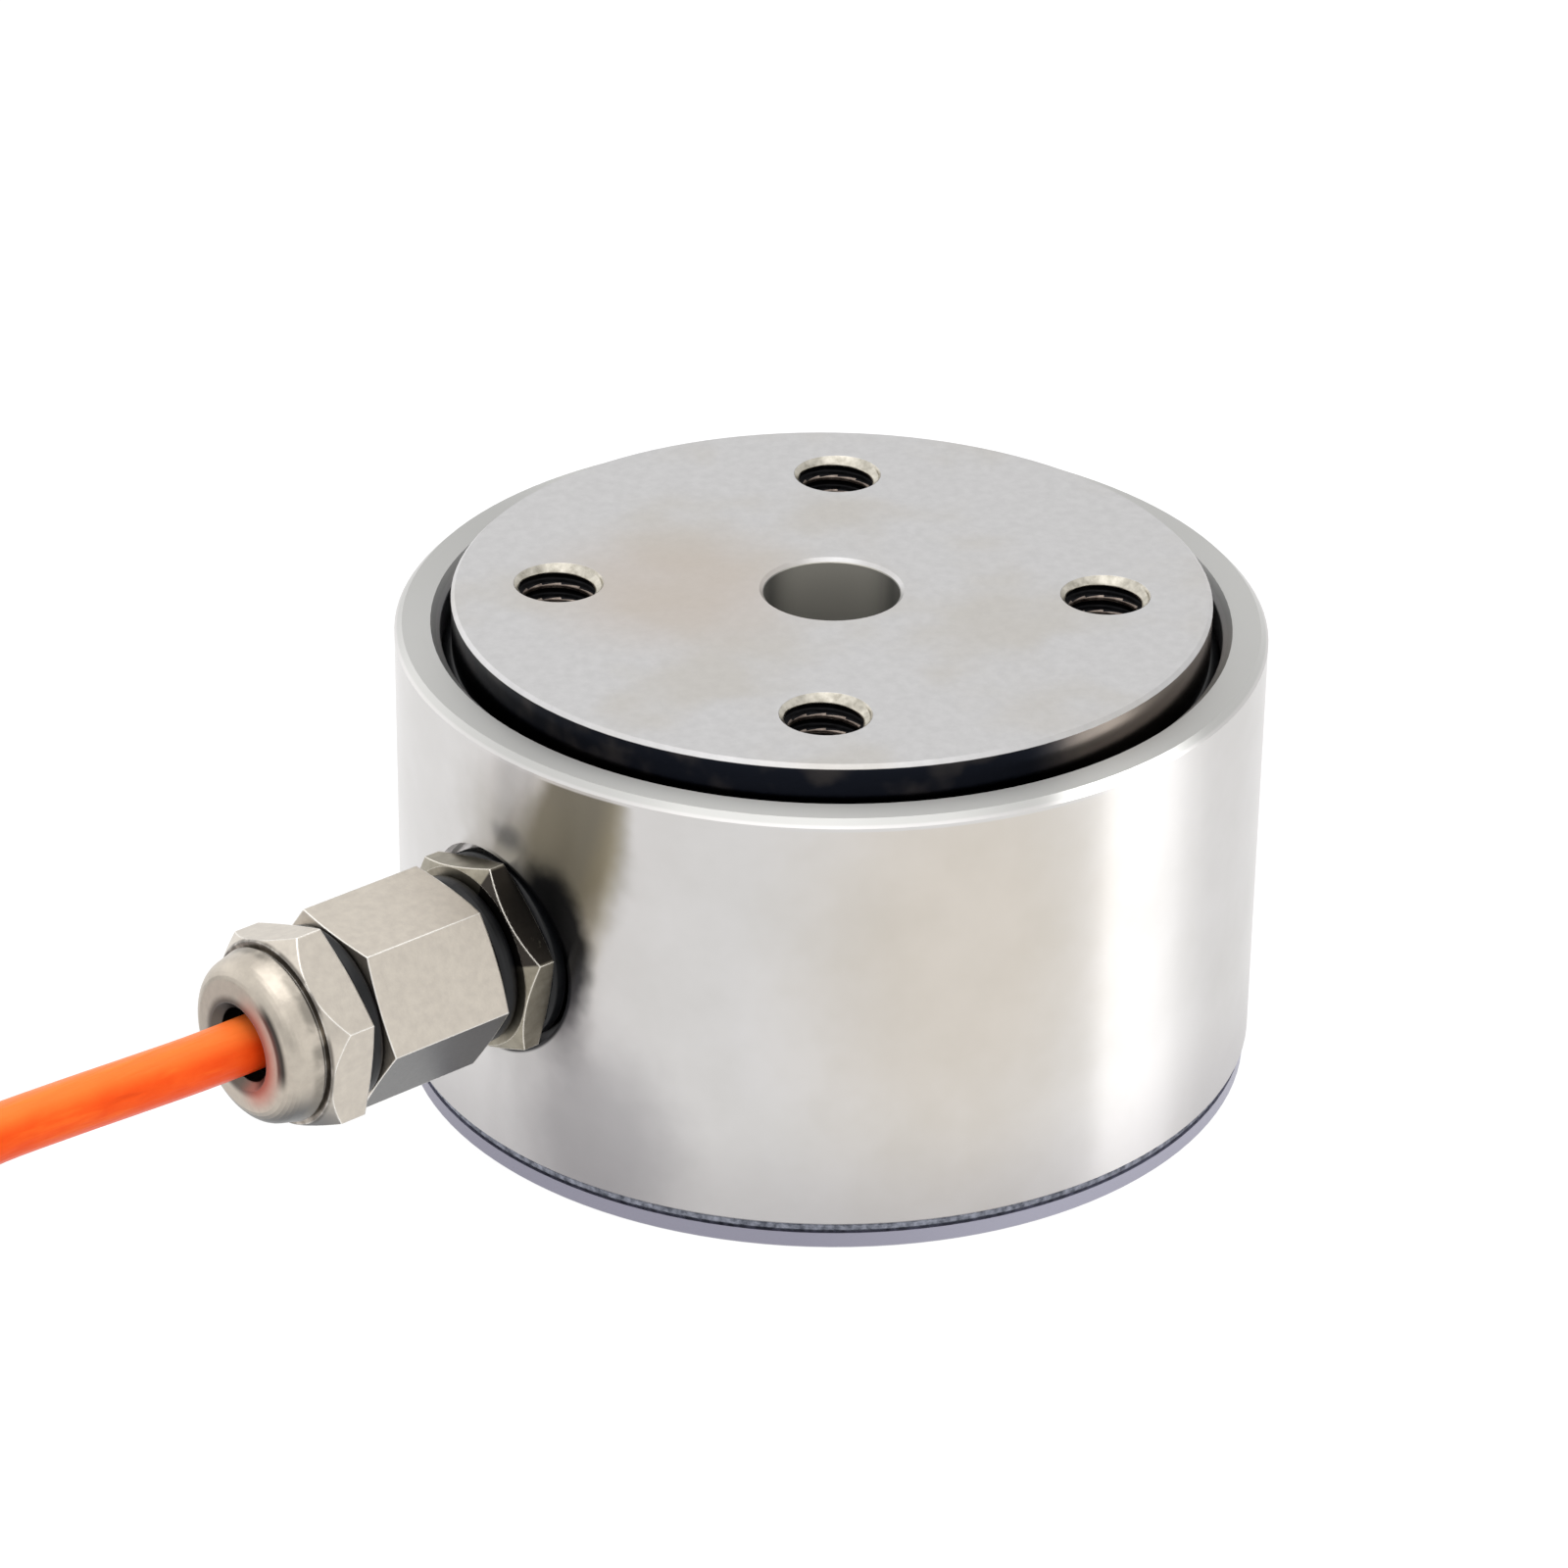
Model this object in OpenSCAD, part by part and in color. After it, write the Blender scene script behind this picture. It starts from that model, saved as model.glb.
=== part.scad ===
// Column load cell: a turned spring element in a housing sleeve, with a side cable gland, a cable and its coil.
// The origin is the middle of the base's underside, +Z is the load axis and the cable leaves along -X.

/* [Housing] */
// Outside diameter of the housing sleeve
body_d = 80; // [76:0.5:90]
// Wall of the housing sleeve
wall_t = 4.2; // [3.4:0.1:5]
// Height from the base's underside to the loading face
total_h = 46; // [45:0.5:52]
// How far the loading disc stands above the sleeve
disc_proud = 2.7; // [1.5:0.1:4]
// Radial gap between the loading disc and the sleeve
disc_gap = 1; // [0.7:0.05:1.4]
// Chamfer on the sleeve's outer top edge
rim_chamfer = 0.7; // [0.3:0.1:1.2]
// Bevel on the sleeve's inner top edge
mouth_bevel = 0.9; // [0.3:0.1:1.4]

/* [Spring element] */
// Thickness of the loading disc
disc_t = 14; // [13.5:0.5:15]
// Thickness of the base flange
base_t = 14; // [13.5:0.5:15]
// Diameter of the gauged column
column_d = 30; // [26:0.5:32]
// Diameter of the bore through the column
bore_d = 12.5; // [10:0.5:16]
// Fillet where the column meets the disc and the flange
root_fillet = 3; // [1.5:0.5:3.5]
// How much smaller in radius the base rim is than the sleeve
rim_step = 0.35; // [0.2:0.05:0.8]
// Height of the base rim under the weld seam
rim_h = 1.6; // [1.2:0.1:2.4]
// Height of the weld seam
seam_h = 1; // [0.6:0.1:1.4]

/* [Bolt holes] */
// Bolt circle of the tapped holes in the disc and in the base
pcd = 50; // [46:1:54]
// Number of tapped holes in each face
hole_n = 4; // [3:1:6]
// Thread size of the tapped holes
tapped_d = 8; // [6:1:8]
// Depth of full thread
tapped_depth = 10.5; // [8:0.5:10.5]
// Width of the countersink beyond the thread, in radius
sink_w = 0.15; // [0.1:0.05:0.6]
// Turn of the first hole from +X
hole_turn = 47.7; // [0:0.1:90]

/* [Cable gland] */
// Height of the gland's axis
gland_z = 22.8; // [22:0.1:24]
// Thread of the gland in the sleeve
port_d = 12; // [11:0.5:12.5]
// Depth of the flat seat under the gland's washer
seat_depth = 1.8; // [1.5:0.1:2.2]
// Thickness of the rubber washer
washer_t = 1.7; // [1.2:0.1:2.2]
// Across the flats of the lock nut
nut_af = 17; // [16:0.5:18]
// Thickness of the lock nut
nut_t = 2.7; // [2.4:0.1:4]
// Thickness of the sealing ring behind the gland's body
ring_t = 2.2; // [1.8:0.1:2.6]
// Thickness of the sealing ring under the cap nut
cap_ring_t = 1.8; // [1.5:0.1:2.4]
// Across the flats of the gland's body
gland_af = 16; // [15.5:0.5:17]
// Length of the gland body's hexagon
gland_l = 12.9; // [12:0.1:15]
// Across the flats of the cap nut
cap_af = 17; // [17:0.5:18]
// Length of the cap nut's hexagon
cap_hex_l = 4.3; // [3.8:0.1:5]
// Length of the cap nut's dome
cap_dome_l = 3.8; // [3.4:0.1:4.4]
// Thread between the gland's body and its cap
cap_thread_d = 14; // [13.8:0.1:14.4]

/* [Cable] */
// Diameter of the cable's jacket
cable_d = 5; // [4.6:0.1:5.2]
// Turns side by side in a layer of the coil
coil_wide = 4; // [3:1:4]
// Layers of the coil
coil_high = 4; // [2:1:4]
// Radius of the innermost turn
coil_in_r = 21; // [20:1:21]

/* [Gauging] */
// Width of a strain gauge round the column
gauge_w = 8; // [6:0.5:9]
// Room left between a strain gauge and the column's fillets
gauge_edge = 1.5; // [0.5:0.25:2.5]
// Thickness of the bridge board
board_t = 1.6; // [1:0.1:2]
// Height of the board's standoffs
standoff_h = 3; // [2.5:0.5:3.5]

/* [Hidden] */
$fn = 96;

// Running room between pieces that seat in one another
fit = 0.05;
// Radii of the housing, from the outside in
body_r = body_d / 2;
sleeve_r = body_r - wall_t;
disc_r = sleeve_r - disc_gap;
bore_r = bore_d / 2;
column_r = column_d / 2;
// Levels, from the base up
seam_top = rim_h + seam_h;
disc_z = total_h - disc_t;
sleeve_top = total_h - disc_proud;
column_mid = (base_t + disc_z) / 2;
disc_chamfer = 0.35;
// The sealing ring in the disc's groove
groove_w = 2.6;
groove_d = 1.5;
groove_z = sleeve_top - 3.6;
seal_r = (groove_d + disc_gap - 2 * fit) / 2;
// Places along the gland's axis, measured outward from the load axis
seat_x = body_r - seat_depth;
nut_x = seat_x + washer_t;
ring_in_x = nut_x + nut_t;
gland_x = ring_in_x + ring_t;
ring_out_x = gland_x + gland_l;
cap_x = ring_out_x + cap_ring_t;
dome_x = cap_x + cap_hex_l;
mouth_x = dome_x + cap_dome_l;
port_r = port_d / 2;
spigot_end_x = sleeve_r - 2.8;
cap_thread_r = cap_thread_d / 2;
cap_thread_end = cap_x + 2.6;
seat_pocket_r = port_r + 3.7;
// How far each hexagon is turned from a corner straight up
nut_turn = 46;
gland_turn = 25;
cap_turn = 50;
// The rubber and the claw that grip the cable
cable_r = cable_d / 2;
chamber_r = cap_thread_r - 1.4;
chamber_x = ring_out_x - 6.8;
claw_t = 1.05;
seal_end = dome_x + 0.7;
mouth_r = cable_r + 0.9;
mouth_sink = 0.7;
// The cable's jacket ends inside the housing, and the free run starts in the grip
jacket_end_x = spigot_end_x - 1;
run_start_x = 60;
// The route's own points, from the grip to the place beside the coil
route = [[-60, 0, 22.8], [-66, 0, 22.8], [-72, 0.1, 22.8], [-78, 0.5, 22.8], [-85, 1, 22.8], [-92, 1.3, 22.8],
  [-96.5, 1.3, 22.4], [-99.8, 1.3, 21.6]];
// The coil lies on its ties, beside the route, which runs into its topmost outer turn
tie_t = 1;
tie_w = 3.6;
coil_out_r = coil_in_r + (coil_wide - 1) * cable_d + cable_r;
coil_side = 1.2;
coil_at = [-118, coil_out_r - coil_side];
coil_hole_r = coil_in_r - cable_r;
coil_h = coil_high * cable_d;
tail_r = coil_in_r + (coil_wide - 1) * cable_d / 2;
sleeve_t = 0.4;
tail_z = tie_t + coil_h + cable_r + sleeve_t + fit;
tail_from = 235;
tail_to = 195;
sleeve_back = 14;
sleeve_on = 10;
// Wires
wire_r = 0.5;
leg_r = 0.35;
core_r = 0.55;
bundle_r = 1.5;
core_bend_r = 3;
core_pitch = 1.5;
resistor_r = 1.1;
resistor_lift = 0.05;
resistor_l = 4.4;
gauge_h = disc_z - base_t - 2 * root_fillet - 2 * gauge_edge;
gauge_back_t = 0.25;
grid_t = 0.1;
bridge_r = column_r + 4;
bridge_z = base_t + 2;
board_z = base_t + standoff_h;
board_top = board_z + board_t;
board_room_in = 6.5;
board_room_out = 2.3;
pin_inset = 2;
board_in_r = column_r + board_room_in;
board_out_r = sleeve_r - board_room_out;
board_mid_r = (board_in_r + board_out_r) / 2;
board_mid_a = 90;
board_half_a = 34;
pin_in_r = board_in_r + pin_inset;
pin_out_r = board_out_r - pin_inset;
pin_r = 0.45;
pin_top = board_top + 1.6;
// Turns of the pins from the board's middle
pin_turns = [-15, -5, 5, 15];
drain_turn = 22;
resistor_turns = [-10, 0, 10];

steel = "#c9c8c4";
polished = "#d4d4d4";
nickel = "#cdc6ba";
dark_nickel = "#8d877b";
black_rubber = "#15161a";
orange = "#f0562a";

// Points of an arc about [x, y] from angle a to angle b
function arc(x, y, r, a, b, n = 8) =
  [for (i = [0:n]) [x + r * cos(a + (b - a) * i / n), y + r * sin(a + (b - a) * i / n)]];
function unit(v) = v / norm(v);
function polar(r, a, z = 0) = [r * cos(a), r * sin(a), z];
function smooth(s) = s * s * (3 - 2 * s);

// A tube of n sides along the points
module tube(points, r, n) {
  last = len(points) - 1;
  rings = [for (i = [0:last])
    let (d = unit(points[min(i + 1, last)] - points[max(i - 1, 0)]),
         side = unit(cross([0, 0, 1], d)),
         up = cross(d, side))
    for (k = [0:n - 1]) points[i] + r * (cos(360 * k / n) * side + sin(360 * k / n) * up)];
  walls = [for (i = [0:last - 1]) for (k = [0:n - 1])
    let (a = i * n + k, b = i * n + (k + 1) % n) each [[a, b, b + n], [a, b + n, a + n]]];
  polyhedron(rings, concat([for (f = walls) [f[2], f[1], f[0]]], [[for (k = [0:n - 1]) k]],
    [[for (k = [n - 1:-1:0]) last * n + k]]));
}

// Places its children on the gland's axis, x outward from the load axis, with +Z of the child pointing outward
module on_gland(x) translate([-x, 0, gland_z]) rotate([0, -90, 0]) children();

// A hexagon with its corners turned off at both ends
module hexagon(af, length, near, far, turn) {
  corner_r = af / 2 / cos(30);
  end_r = af / 2 - 0.1;
  intersection() {
    rotate([0, 0, turn]) cylinder(h = length, r = corner_r, $fn = 6);
    rotate_extrude() polygon([[0, 0], [end_r, 0], [corner_r + 0.05, near],
      [corner_r + 0.05, length - far], [end_r, length], [0, length]]);
  }
}

// A ring of rectangular section with rounded outer corners
module soft_ring(inner, outer, height, round_r) {
  rotate_extrude() polygon(concat([[inner, 0]],
    arc(outer - round_r, round_r, round_r, -90, 0, 5),
    arc(outer - round_r, height - round_r, round_r, 0, 90, 5), [[inner, height]]));
}

module tapped_hole(depth) {
  r = tapped_d / 2;
  rotate_extrude() polygon([[0, 1], [r + sink_w + 1, 1], [r, -sink_w], [r, -depth],
    [0, -depth - r * tan(31)]]);
}

module bolt_circle() for (i = [0:hole_n - 1]) rotate(hole_turn + 360 / hole_n * i)
  translate([pcd / 2, 0, 0]) children();

// One turned piece: loading disc, gauged column and base flange
module spring_element() color(steel) difference() {
  rotate_extrude() polygon(concat(
    [[bore_r + 0.4, 0], [body_r - rim_step - 0.2, 0], [body_r - rim_step, 0.2],
     [body_r - rim_step, rim_h], [sleeve_r - fit, rim_h], [sleeve_r - fit, base_t]],
    arc(column_r + root_fillet, base_t + root_fillet, root_fillet, -90, -180),
    arc(column_r + root_fillet, disc_z - root_fillet, root_fillet, 180, 90),
    [[disc_r, disc_z], [disc_r, groove_z - groove_w / 2], [disc_r - groove_d, groove_z - groove_w / 2],
     [disc_r - groove_d, groove_z + groove_w / 2], [disc_r, groove_z + groove_w / 2],
     [disc_r, total_h - disc_chamfer], [disc_r - disc_chamfer, total_h],
     [bore_r + 0.4, total_h], [bore_r, total_h - 0.4], [bore_r, 0.4]]));
  translate([0, 0, total_h]) bolt_circle() tapped_hole(tapped_depth);
  mirror([0, 0, 1]) bolt_circle() tapped_hole(tapped_depth);
}

module housing_sleeve() color(polished) difference() {
  rotate_extrude() polygon([[sleeve_r, seam_top], [body_r - 0.2, seam_top], [body_r, seam_top + 0.2],
    [body_r, sleeve_top - rim_chamfer], [body_r - rim_chamfer, sleeve_top],
    [sleeve_r + mouth_bevel, sleeve_top], [sleeve_r, sleeve_top - mouth_bevel]]);
  on_gland(sleeve_r - 5) cylinder(h = 20, r = port_r);
  on_gland(seat_x) cylinder(h = 10, r = seat_pocket_r);
}

module weld_seam() color("#55555a") rotate_extrude() polygon([[sleeve_r + 0.1, rim_h],
  [body_r - rim_step - 0.3, rim_h], [body_r - rim_step - 0.1, rim_h + seam_h * 0.3],
  [body_r - rim_step - 0.1, rim_h + seam_h * 0.7], [body_r - rim_step - 0.3, seam_top],
  [sleeve_r + 0.1, seam_top]]);

module top_seal() color(black_rubber) translate([0, 0, groove_z]) rotate_extrude()
  translate([disc_r - groove_d + fit + seal_r, 0]) circle(r = seal_r);

// A gauge with one grid along the load and one across it
module strain_gauge(turn) {
  half_a = gauge_w / 2 / column_r * 180 / PI;
  back_r = column_r + fit;
  face_r = back_r + gauge_back_t;
  module patch(from_a, to_a, z, h, r, t) rotate(from_a) rotate_extrude(angle = to_a - from_a)
    translate([r, z]) square([t, h]);
  translate([0, 0, column_mid]) rotate(turn) {
    color("#c9862f") patch(-half_a, half_a, -gauge_h / 2, gauge_h, back_r, gauge_back_t);
    color("#8f8a80") {
      for (i = [-2:2]) patch(i * half_a * 0.32 - half_a * 0.09, i * half_a * 0.32 + half_a * 0.09,
        gauge_h * 0.08, gauge_h * 0.36, face_r - grid_t / 2, grid_t * 1.5);
      for (i = [0:3]) patch(-half_a * 0.7, half_a * 0.7, gauge_h * (-0.14 - 0.055 * i), gauge_h * 0.03,
        face_r - grid_t / 2, grid_t * 1.5);
      for (s = [-1, 1]) patch(s * half_a * 0.5 - half_a * 0.3, s * half_a * 0.5 + half_a * 0.3,
        -gauge_h * 0.47, gauge_h * 0.1, face_r - grid_t / 2, grid_t * 1.5);
    }
  }
}

// A loop of wire round the column's foot with two legs up to each gauge and four links to the board
module bridge_wiring() color("#b8452e") {
  tab_z = column_mid - gauge_h * 0.42;
  tab_r = column_r + fit + gauge_back_t + grid_t + fit;
  leg_a = gauge_w / 4 / column_r * 180 / PI;
  translate([0, 0, bridge_z]) rotate_extrude() translate([bridge_r, 0]) circle(r = wire_r, $fn = 24);
  for (i = [0:3]) for (s = [-1, 1]) rotate(90 * i + s * leg_a) {
    translate([bridge_r, 0, bridge_z]) cylinder(h = tab_z + leg_r - bridge_z, r = leg_r, $fn = 24);
    translate([tab_r, 0, tab_z]) rotate([0, 90, 0]) cylinder(h = bridge_r - tab_r, r = leg_r * 0.8, $fn = 24);
  }
  for (t = pin_turns) rotate(board_mid_a + t) translate([bridge_r, 0, bridge_z]) rotate([0, 90, 0])
    cylinder(h = pin_in_r + pin_r - bridge_r, r = leg_r, $fn = 24);
}

// The ring-shaped board that completes and trims the bridge
module bridge_board() color("#2f6b45") difference() {
  translate([0, 0, board_z]) rotate(board_mid_a - board_half_a) rotate_extrude(angle = 2 * board_half_a)
    translate([board_in_r, 0]) square([board_out_r - board_in_r, board_t]);
  for (t = pin_turns) for (r = [pin_in_r, pin_out_r]) pin_hole(r, t);
  pin_hole(pin_out_r, drain_turn);
  for (s = [-1, 1]) translate(polar(board_mid_r, board_mid_a + s * (board_half_a - 5),
    board_z - 1)) cylinder(h = board_t + 2, r = 1.1, $fn = 32);
}

module pin_hole(r, turn) translate(polar(r, board_mid_a + turn, board_z - 1))
  cylinder(h = board_t + 2, r = pin_r + fit, $fn = 24);

module at_board_ends(z) for (s = [-1, 1])
  translate(polar(board_mid_r, board_mid_a + s * (board_half_a - 5), z)) children();

module board_standoffs() color("#b9a25a") at_board_ends(base_t) difference() {
  cylinder(h = standoff_h, r = 2.3, $fn = 6);
  translate([0, 0, standoff_h - 2]) cylinder(h = 3, r = 1, $fn = 32);
}

module board_screws() color("#9a9a98") at_board_ends(board_top) {
  difference() {
    translate([0, 0, fit]) rotate_extrude() polygon(concat([[0, 0], [1.9, 0], [1.9, 0.5]],
      arc(0.9, 0.5, 1, 0, 90, 5), [[0, 1.5]]));
    for (a = [0, 90]) rotate(a) translate([-1.2, -0.2, 0.9]) cube([2.4, 0.4, 2]);
  }
  translate([0, 0, -board_t - 1.6]) cylinder(h = board_t + 1.6 + fit, r = 0.95, $fn = 32);
}

module trim_resistors() color("#4d7fae") for (t = resistor_turns)
  translate(polar(board_mid_r, board_mid_a + t, board_top + resistor_lift + resistor_r)) rotate(board_mid_a + t) {
    leg_x = resistor_l / 2 + 0.7;
    translate([-resistor_l / 2, 0, 0]) rotate([0, 90, 0]) cylinder(h = resistor_l, r = resistor_r, $fn = 32);
    for (s = [-1, 1]) {
      translate([s * leg_x, 0, 0]) rotate([0, -90 * s, 0]) cylinder(h = 0.8, r = 0.25, $fn = 24);
      translate([s * leg_x, 0, 0]) sphere(r = 0.25, $fn = 24);
      translate([s * leg_x, 0, fit - resistor_lift - resistor_r]) cylinder(h = resistor_lift + resistor_r - fit, r = 0.25, $fn = 24);
    }
  }

module solder_pins() color("#d8c37a") {
  for (t = pin_turns) {
    pin(pin_in_r, t, bridge_z + leg_r + fit);
    pin(pin_out_r, t, board_z - 1);
  }
  pin(pin_out_r, drain_turn, board_z - 1);
}

module pin(r, turn, z) translate(polar(r, board_mid_a + turn, z)) cylinder(h = pin_top - z, r = pin_r, $fn = 24);

// A core from the jacket's end to its pin: place is its place in the bundle, and lane counts the cores outside it
module core(place, lane, turn) {
  side = bundle_r * cos(place);
  from_z = gland_z + bundle_r * sin(place);
  bend_r = core_bend_r - side;
  bend_x = 0.5 - jacket_end_x;
  pin_z = pin_top + core_r + fit;
  lane_z = board_top + resistor_lift + 2 * resistor_r + core_r + 2 * fit;
  lane_r = pin_out_r - core_pitch * lane;
  from_r = norm([bend_x + bend_r, core_bend_r]);
  from_a = atan2(core_bend_r, bend_x + bend_r);
  end_a = board_mid_a + turn;
  steps = 18;
  bend = [for (a = [0:30:60]) [bend_x + bend_r * sin(a), core_bend_r - bend_r * cos(a), from_z]];
  round = [for (i = [0:steps]) let (s = i / steps, away = smooth(min(1, s / 0.4)), out = smooth(max(0, s - 0.86) / 0.14))
    polar(from_r + (lane_r - from_r) * away + (pin_out_r - lane_r) * out, from_a + (end_a - from_a) * s,
      i == steps ? pin_z : from_z + (lane_z - from_z) * away)];
  tube(concat([[fit - jacket_end_x, side, from_z]], bend, round), core_r, 8);
}

module core_red() color("#c4281c") core(54, 1, 15);
module core_black() color("#1b1b1d") core(-90, 2, 5);
module core_green() color("#2c7a3c") core(126, 3, -5);
module core_white() color("#e8e6df") core(198, 4, -15);
module drain_wire() color("#b98a5a") core(-18, 0, drain_turn);

module gland_washer() color(black_rubber) on_gland(seat_x) difference() {
  soft_ring(port_r, seat_pocket_r - 0.8, washer_t, 0.5);
}

module lock_nut() color(dark_nickel) on_gland(nut_x) difference() {
  hexagon(nut_af, nut_t, 0.3, 0.9, nut_turn);
  translate([0, 0, -1]) cylinder(h = nut_t + 2, r = port_r);
}

module inner_seal_ring() color(black_rubber) on_gland(ring_in_x) soft_ring(port_r, gland_af / 2 - 0.2, ring_t, 0.9);

module outer_seal_ring() color(black_rubber) on_gland(ring_out_x) soft_ring(cap_thread_r + fit,
  gland_af / 2 + 0.1, cap_ring_t, 0.7);

// The gland's body: the spigot in the sleeve, the hexagon and the thread for the cap
module gland_body() color(nickel) difference() {
  union() {
    on_gland(gland_x) hexagon(gland_af, gland_l, 0.3, 0.25, gland_turn);
    on_gland(spigot_end_x) rotate_extrude() polygon([[0, 0], [port_r - fit - 0.5, 0], [port_r - fit, 0.5],
      [port_r - fit, gland_x - spigot_end_x + 0.5], [0, gland_x - spigot_end_x + 0.5]]);
    on_gland(ring_out_x - 0.5) rotate_extrude() polygon([[0, 0], [cap_thread_r, 0],
      [cap_thread_r, cap_thread_end - ring_out_x], [cap_thread_r - 0.4, cap_thread_end - ring_out_x + 0.4],
      [0, cap_thread_end - ring_out_x + 0.4]]);
  }
  on_gland(spigot_end_x - 1) cylinder(h = 40, r = cable_r + 0.6);
  on_gland(chamber_x) cylinder(h = 30, r = chamber_r);
}

// The plastic claw whose fingers the cap closes on the rubber
module clamp_claw() color("#e4e1d8") {
  out_r = chamber_r - fit;
  in_r = chamber_r - claw_t;
  length = dome_x - chamber_x + 0.1;
  base_l = 3;
  on_gland(chamber_x + fit) difference() {
    rotate_extrude() polygon([[in_r, 0], [out_r, 0], [out_r, length - 1.6], [out_r - 0.6, length], [in_r, length]]);
    for (i = [0:5]) rotate(60 * i) translate([in_r - 1, -0.5, base_l]) cube([claw_t + 2, 1, length]);
  }
}

module grip_seal() color(black_rubber) on_gland(chamber_x + fit)
  rotate_extrude() polygon([[cable_r + fit, 0], [chamber_r - claw_t - fit, 0],
    [chamber_r - claw_t - fit, seal_end - chamber_x - 0.9], [chamber_r - claw_t - 0.5, seal_end - chamber_x - fit],
    [cable_r + fit, seal_end - chamber_x - fit]]);

// The domed cap nut
module cap_nut() color(nickel) {
  dome_r = cap_af / 2 - 0.5;
  face_r = 2.1;
  neck = 0.35;
  difference() {
    union() {
      on_gland(cap_x) hexagon(cap_af, cap_hex_l, 0.25, 1.6, cap_turn);
      on_gland(dome_x - 0.3) rotate_extrude() polygon(concat([[0, 0], [dome_r - neck, 0], [dome_r - neck, 0.5],
        [dome_r, 0.7]], arc(dome_r - 0.35 - face_r, cap_dome_l + 0.3 - face_r - 0.15, face_r, 12, 75, 6),
        [[mouth_r + 0.7, cap_dome_l + 0.3], [0, cap_dome_l + 0.3]]));
    }
    on_gland(cap_x - 1) cylinder(h = cap_thread_end + 0.5 + 1 - cap_x, r = cap_thread_r + fit);
    on_gland(cap_x) rotate_extrude() polygon([[0, 0], [chamber_r + fit, 0],
      [chamber_r + fit, cap_thread_end + 0.5 - cap_x], [chamber_r - claw_t, dome_x + 1.2 - cap_x],
      [mouth_r, dome_x + 1.2 - cap_x], [mouth_r, mouth_x - mouth_sink - cap_x],
      [mouth_r + mouth_sink + 1, mouth_x + 1 - cap_x], [0, mouth_x + 1 - cap_x]]);
  }
}

module cable_inner() color(orange) on_gland(jacket_end_x) cylinder(h = run_start_x - jacket_end_x, r = cable_r, $fn = 48);

module cable_run() color(orange) tube(route, cable_r, 10);

module at_coil(z) translate([coil_at[0], coil_at[1], z]) children();

// The wound length, as the outer shape of its turns
module cable_coil() color(orange) at_coil(tie_t) rotate_extrude() polygon(concat(
  arc(coil_out_r - cable_r, cable_r, cable_r, -90, 0, 6),
  arc(coil_out_r - cable_r, coil_h - cable_r, cable_r, 0, 90, 6),
  arc(coil_hole_r + cable_r, coil_h - cable_r, cable_r, 90, 180, 6),
  arc(coil_hole_r + cable_r, cable_r, cable_r, 180, 270, 6)));

// The end of the cable, lying on the coil
module cable_tail() color(orange) at_coil(tail_z) rotate(tail_to)
  rotate_extrude(angle = tail_from - tail_to) translate([tail_r, 0]) circle(r = cable_r, $fn = 32);

module coil_tie(turn) color("#232326") at_coil(0) rotate(turn) {
  in_x = sqrt(coil_hole_r * coil_hole_r - tie_w * tie_w / 4) - fit;
  out_x = coil_out_r + fit;
  difference() {
    union() {
      translate([in_x - tie_t, -tie_w / 2, 0]) cube([out_x - in_x + 2 * tie_t, tie_w, coil_h + 2 * tie_t + fit]);
      translate([out_x, -tie_w / 2 - 0.6, coil_h - 5]) cube([3.2, tie_w + 1.2, 4.6]);
    }
    translate([in_x, -tie_w, tie_t]) cube([out_x - in_x, 2 * tie_w, coil_h + fit]);
  }
}

module coil_tie_1() coil_tie(95);
module coil_tie_2() coil_tie(-5);

// The shrunk sleeve over the end of the jacket
module end_sleeve() color("#1d1d20") at_coil(tail_z) rotate(tail_to - sleeve_on)
  rotate_extrude(angle = sleeve_on + sleeve_back) translate([tail_r, 0]) difference() {
    circle(r = cable_r + sleeve_t, $fn = 32);
    circle(r = cable_r + fit, $fn = 32);
  }

// A free lead that comes out of the sleeve and lies down on the coil
module lead(spread, lift, long_a) {
  from_a = tail_to - 0.8;
  steps = 12;
  low_z = tie_t + coil_h + core_r + fit;
  points = [for (i = [0:steps]) let (s = i / steps, open = smooth(min(1, s * 1.6)))
    polar(tail_r + spread * (0.3 + 0.7 * open), from_a - long_a * s,
      tail_z + lift * (1 - open) + (low_z - tail_z) * open) + [coil_at[0], coil_at[1], 0]];
  tube(points, core_r, 8);
}

module lead_red() color("#c4281c") lead(-4.4, 0.9, 74);
module lead_black() color("#1b1b1d") lead(-2.2, -0.95, 80);
module lead_green() color("#2c7a3c") lead(2.2, -0.95, 77);
module lead_white() color("#e8e6df") lead(4.4, 0.9, 72);
module lead_drain() color("#b98a5a") lead(0, 0.3, 68);

spring_element();
housing_sleeve();
weld_seam();
top_seal();
strain_gauge(0);  // gauge_1
strain_gauge(90);  // gauge_2
strain_gauge(180);  // gauge_3
strain_gauge(270);  // gauge_4
bridge_wiring();
bridge_board();
board_standoffs();
board_screws();
trim_resistors();
solder_pins();
core_red();
core_black();
core_green();
core_white();
drain_wire();
gland_washer();
lock_nut();
inner_seal_ring();
gland_body();
outer_seal_ring();
clamp_claw();
grip_seal();
cap_nut();
cable_inner();
cable_run();
cable_coil();
cable_tail();
coil_tie_1();
coil_tie_2();
end_sleeve();
lead_red();
lead_black();
lead_green();
lead_white();
lead_drain();
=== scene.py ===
# Column load cell in steel, with a nickel-plated cable gland and an orange cable that ends in a coil.
# The frame is the CAD's: metres, the origin in the middle of the base, +Z the load axis, the cable along -X.
import math

import bmesh
import bpy
from mathutils import Matrix, Vector


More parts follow.
